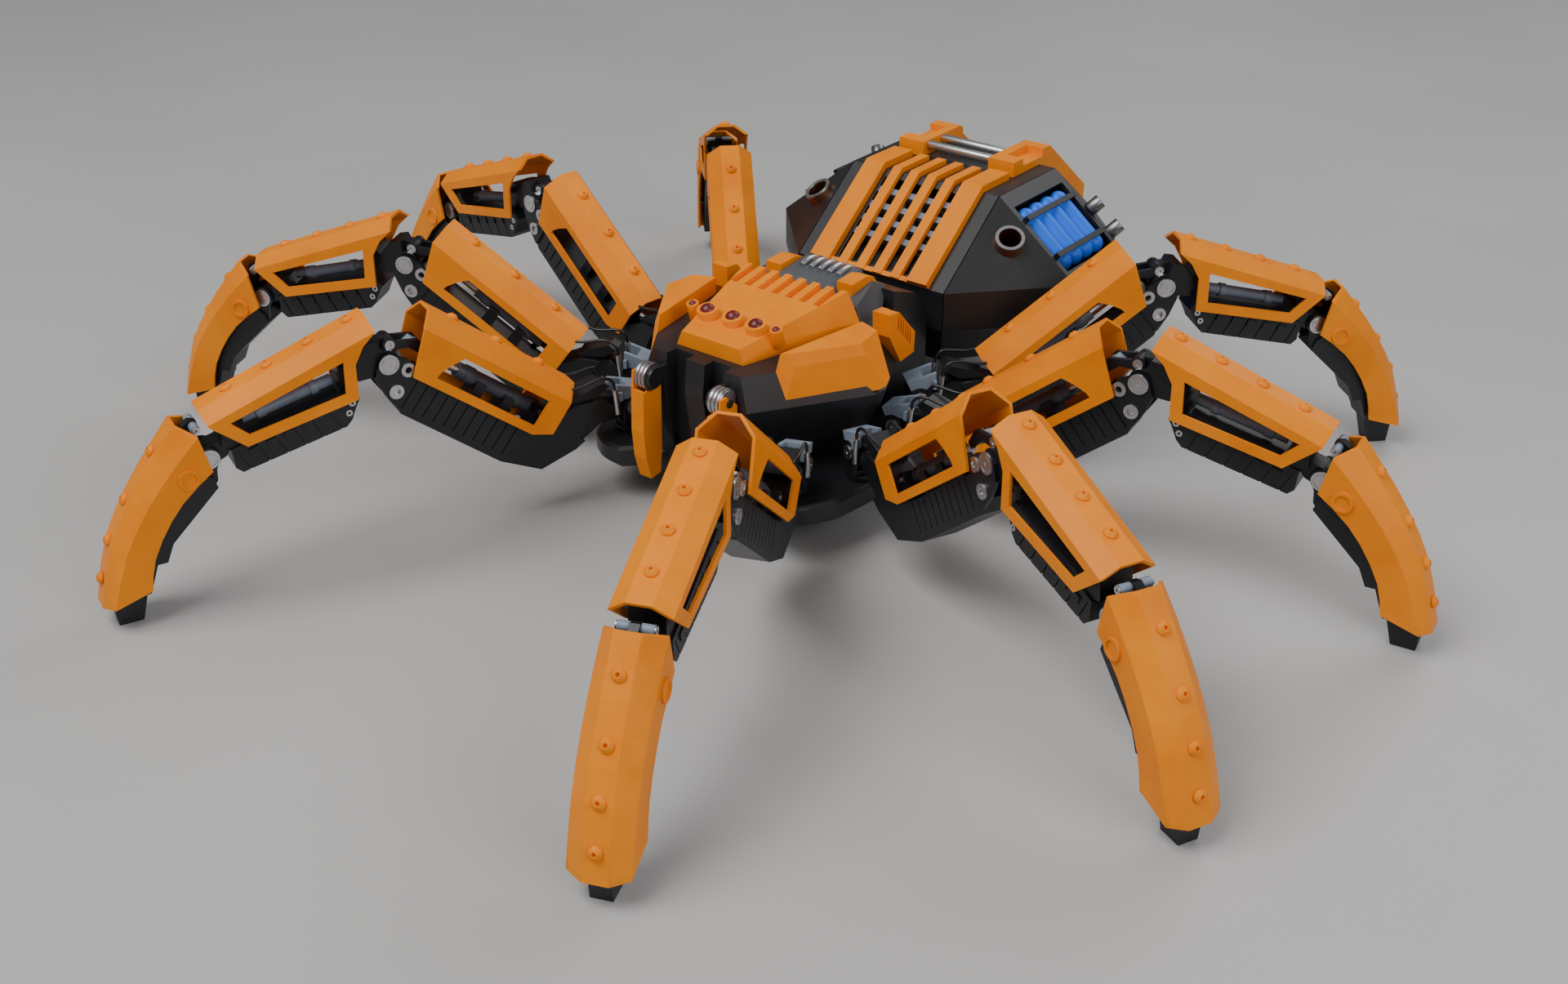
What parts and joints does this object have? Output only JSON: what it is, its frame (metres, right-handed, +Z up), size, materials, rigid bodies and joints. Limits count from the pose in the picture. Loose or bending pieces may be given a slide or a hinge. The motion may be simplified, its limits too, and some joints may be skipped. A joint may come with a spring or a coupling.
{
  "type": "spider robot",
  "caption": "Low spider walking robot: armoured jointed legs round a flat deck, a faceted head with domed eyes and hinged fangs, and a faceted abdomen with a carrying handle.",
  "frame": {"origin": "on the floor, at the centre of the feet's bounding rectangle", "axes": "+Z up, the head looks along -Y, +X to the robot's left"},
  "size_m": [0.8134, 0.672, 0.1635],
  "materials": {
    "orange_armour": "satin orange, edge wear",
    "black_frame": "satin blue-black",
    "dark_shell": "satin dark",
    "lens_red": "polished dark red",
    "bright_metal": "polished",
    "blue_cell": "gloss blue"
  },
  "bodies": {
    "core": {"chassis_plate": "black_frame", "head_housing": "black_frame", "head_armour": "orange_armour", "eye_lenses": "lens_red", "neck_assembly": "dark_shell", "abdomen_shell": "black_frame", "abdomen_armour": "orange_armour", "abdomen_fittings": "bright_metal", "gas_cylinders": "blue_cell", "power_pack": "black_frame"},
    "left_fang": {"fang_left": "black_frame"},
    "right_fang": {"fang_right": "black_frame"},
    "coxa_l1": {"hip_swivel_l1": "black_frame"},
    "thigh_l1": {"femur_frame_l1": "black_frame", "femur_armour_l1": "orange_armour"},
    "shin_l1": {"tibia_frame_l1": "black_frame", "tibia_armour_l1": "orange_armour"},
    "foot_l1": {"tarsus_l1": "orange_armour"},
    "coxa_r1": {"hip_swivel_r1": "black_frame"},
    "thigh_r1": {"femur_frame_r1": "black_frame", "femur_armour_r1": "orange_armour"},
    "shin_r1": {"tibia_frame_r1": "black_frame", "tibia_armour_r1": "orange_armour"},
    "foot_r1": {"tarsus_r1": "orange_armour"},
    "coxa_l2": {"hip_swivel_l2": "black_frame"},
    "thigh_l2": {"femur_frame_l2": "black_frame", "femur_armour_l2": "orange_armour"},
    "shin_l2": {"tibia_frame_l2": "black_frame", "tibia_armour_l2": "orange_armour"},
    "foot_l2": {"tarsus_l2": "orange_armour"},
    "coxa_r2": {"hip_swivel_r2": "black_frame"},
    "thigh_r2": {"femur_frame_r2": "black_frame", "femur_armour_r2": "orange_armour"},
    "shin_r2": {"tibia_frame_r2": "black_frame", "tibia_armour_r2": "orange_armour"},
    "foot_r2": {"tarsus_r2": "orange_armour"},
    "coxa_l3": {"hip_swivel_l3": "black_frame"},
    "thigh_l3": {"femur_frame_l3": "black_frame", "femur_armour_l3": "orange_armour"},
    "shin_l3": {"tibia_frame_l3": "black_frame", "tibia_armour_l3": "orange_armour"},
    "foot_l3": {"tarsus_l3": "orange_armour"},
    "coxa_r3": {"hip_swivel_r3": "black_frame"},
    "thigh_r3": {"femur_frame_r3": "black_frame", "femur_armour_r3": "orange_armour"},
    "shin_r3": {"tibia_frame_r3": "black_frame", "tibia_armour_r3": "orange_armour"},
    "foot_r3": {"tarsus_r3": "orange_armour"},
    "coxa_l4": {"hip_swivel_l4": "black_frame"},
    "thigh_l4": {"femur_frame_l4": "black_frame", "femur_armour_l4": "orange_armour"},
    "shin_l4": {"tibia_frame_l4": "black_frame", "tibia_armour_l4": "orange_armour"},
    "foot_l4": {"tarsus_l4": "orange_armour"},
    "coxa_r4": {"hip_swivel_r4": "black_frame"},
    "thigh_r4": {"femur_frame_r4": "black_frame", "femur_armour_r4": "orange_armour"},
    "shin_r4": {"tibia_frame_r4": "black_frame", "tibia_armour_r4": "orange_armour"},
    "foot_r4": {"tarsus_r4": "orange_armour"}
  },
  "joints": [
    {"name": "yaw_l1", "type": "hinge", "parent": "core", "child": "coxa_l1", "pos_m": [0.0661, -0.03068, 0.0385], "axis": [0, 0, 1], "range_deg": [-12, 12]},
    {"name": "hip_l1", "type": "hinge", "parent": "coxa_l1", "child": "thigh_l1", "pos_m": [0.0661, -0.03068, 0.0567], "axis": [-0.9285, -0.3714, 0], "range_deg": [-10, 15]},
    {"name": "knee_l1", "type": "hinge", "parent": "thigh_l1", "child": "shin_l1", "pos_m": [0.1224, -0.17144, 0.1231], "axis": [-0.9285, -0.3714, 0], "range_deg": [-30, 25]},
    {"name": "ankle_l1", "type": "hinge", "parent": "shin_l1", "child": "foot_l1", "pos_m": [0.16136, -0.26885, 0.09002], "axis": [-0.9285, -0.3714, 0], "range_deg": [-25, 20]},
    {"name": "yaw_r1", "type": "hinge", "parent": "core", "child": "coxa_r1", "pos_m": [-0.0661, -0.03068, 0.0385], "axis": [0, 0, -1], "range_deg": [-12, 12]},
    {"name": "hip_r1", "type": "hinge", "parent": "coxa_r1", "child": "thigh_r1", "pos_m": [-0.0661, -0.03068, 0.0567], "axis": [-0.9285, 0.3714, 0], "range_deg": [-10, 15]},
    {"name": "knee_r1", "type": "hinge", "parent": "thigh_r1", "child": "shin_r1", "pos_m": [-0.1224, -0.17144, 0.1231], "axis": [-0.9285, 0.3714, 0], "range_deg": [-30, 25]},
    {"name": "ankle_r1", "type": "hinge", "parent": "shin_r1", "child": "foot_r1", "pos_m": [-0.16136, -0.26885, 0.09002], "axis": [-0.9285, 0.3714, 0], "range_deg": [-25, 20]},
    {"name": "yaw_l2", "type": "hinge", "parent": "core", "child": "coxa_l2", "pos_m": [0.086, 0.00642, 0.0385], "axis": [0, 0, 1], "range_deg": [-12, 12]},
    {"name": "hip_l2", "type": "hinge", "parent": "coxa_l2", "child": "thigh_l2", "pos_m": [0.086, 0.00642, 0.0567], "axis": [-0.4305, -0.9026, 0], "range_deg": [-16, 15]},
    {"name": "knee_l2", "type": "hinge", "parent": "thigh_l2", "child": "shin_l2", "pos_m": [0.22283, -0.05885, 0.1231], "axis": [-0.4305, -0.9026, 0], "range_deg": [-30, 25]},
    {"name": "ankle_l2", "type": "hinge", "parent": "shin_l2", "child": "foot_l2", "pos_m": [0.31752, -0.10401, 0.09002], "axis": [-0.4305, -0.9026, 0], "range_deg": [-25, 20]},
    {"name": "yaw_r2", "type": "hinge", "parent": "core", "child": "coxa_r2", "pos_m": [-0.086, 0.00642, 0.0385], "axis": [0, 0, -1], "range_deg": [-12, 12]},
    {"name": "hip_r2", "type": "hinge", "parent": "coxa_r2", "child": "thigh_r2", "pos_m": [-0.086, 0.00642, 0.0567], "axis": [-0.4305, 0.9026, 0], "range_deg": [-16, 15]},
    {"name": "knee_r2", "type": "hinge", "parent": "thigh_r2", "child": "shin_r2", "pos_m": [-0.22283, -0.05885, 0.1231], "axis": [-0.4305, 0.9026, 0], "range_deg": [-30, 25]},
    {"name": "ankle_r2", "type": "hinge", "parent": "shin_r2", "child": "foot_r2", "pos_m": [-0.31752, -0.10401, 0.09002], "axis": [-0.4305, 0.9026, 0], "range_deg": [-25, 20]},
    {"name": "yaw_l3", "type": "hinge", "parent": "core", "child": "coxa_l3", "pos_m": [0.0825, 0.05102, 0.0385], "axis": [0, 0, 1], "range_deg": [-12, 12]},
    {"name": "hip_l3", "type": "hinge", "parent": "coxa_l3", "child": "thigh_l3", "pos_m": [0.0825, 0.05102, 0.0567], "axis": [0.1323, -0.9912, 0], "range_deg": [-16, 15]},
    {"name": "knee_l3", "type": "hinge", "parent": "thigh_l3", "child": "shin_l3", "pos_m": [0.23277, 0.07107, 0.1231], "axis": [0.1323, -0.9912, 0], "range_deg": [-30, 25]},
    {"name": "ankle_l3", "type": "hinge", "parent": "shin_l3", "child": "foot_l3", "pos_m": [0.33676, 0.08495, 0.09002], "axis": [0.1323, -0.9912, 0], "range_deg": [-25, 20]},
    {"name": "yaw_r3", "type": "hinge", "parent": "core", "child": "coxa_r3", "pos_m": [-0.0825, 0.05102, 0.0385], "axis": [0, 0, -1], "range_deg": [-12, 12]},
    {"name": "hip_r3", "type": "hinge", "parent": "coxa_r3", "child": "thigh_r3", "pos_m": [-0.0825, 0.05102, 0.0567], "axis": [0.1323, 0.9912, 0], "range_deg": [-16, 15]},
    {"name": "knee_r3", "type": "hinge", "parent": "thigh_r3", "child": "shin_r3", "pos_m": [-0.23277, 0.07107, 0.1231], "axis": [0.1323, 0.9912, 0], "range_deg": [-30, 25]},
    {"name": "ankle_r3", "type": "hinge", "parent": "shin_r3", "child": "foot_r3", "pos_m": [-0.33676, 0.08495, 0.09002], "axis": [0.1323, 0.9912, 0], "range_deg": [-25, 20]},
    {"name": "yaw_l4", "type": "hinge", "parent": "core", "child": "coxa_l4", "pos_m": [0.0699, 0.08902, 0.0385], "axis": [0, 0, 1], "range_deg": [-12, 7]},
    {"name": "hip_l4", "type": "hinge", "parent": "coxa_l4", "child": "thigh_l4", "pos_m": [0.0699, 0.08902, 0.0567], "axis": [0.7278, -0.6858, 0], "range_deg": [-6, 15]},
    {"name": "knee_l4", "type": "hinge", "parent": "thigh_l4", "child": "shin_l4", "pos_m": [0.17387, 0.19935, 0.1231], "axis": [0.7278, -0.6858, 0], "range_deg": [-30, 25]},
    {"name": "ankle_l4", "type": "hinge", "parent": "shin_l4", "child": "foot_l4", "pos_m": [0.24582, 0.2757, 0.09002], "axis": [0.7278, -0.6858, 0], "range_deg": [-25, 20]},
    {"name": "yaw_r4", "type": "hinge", "parent": "core", "child": "coxa_r4", "pos_m": [-0.0699, 0.08902, 0.0385], "axis": [0, 0, -1], "range_deg": [-12, 7]},
    {"name": "hip_r4", "type": "hinge", "parent": "coxa_r4", "child": "thigh_r4", "pos_m": [-0.0699, 0.08902, 0.0567], "axis": [0.7278, 0.6858, 0], "range_deg": [-6, 15]},
    {"name": "knee_r4", "type": "hinge", "parent": "thigh_r4", "child": "shin_r4", "pos_m": [-0.17387, 0.19935, 0.1231], "axis": [0.7278, 0.6858, 0], "range_deg": [-30, 25]},
    {"name": "ankle_r4", "type": "hinge", "parent": "shin_r4", "child": "foot_r4", "pos_m": [-0.24582, 0.2757, 0.09002], "axis": [0.7278, 0.6858, 0], "range_deg": [-25, 20]},
    {"name": "left_fang_hinge", "type": "hinge", "parent": "core", "child": "left_fang", "pos_m": [0.0294, -0.05198, 0.0939], "axis": [1, 0, 0], "range_deg": [-30, 0]},
    {"name": "right_fang_hinge", "type": "hinge", "parent": "core", "child": "right_fang", "pos_m": [-0.0294, -0.05198, 0.0939], "axis": [1, 0, 0], "range_deg": [-30, 0]}
  ]
}
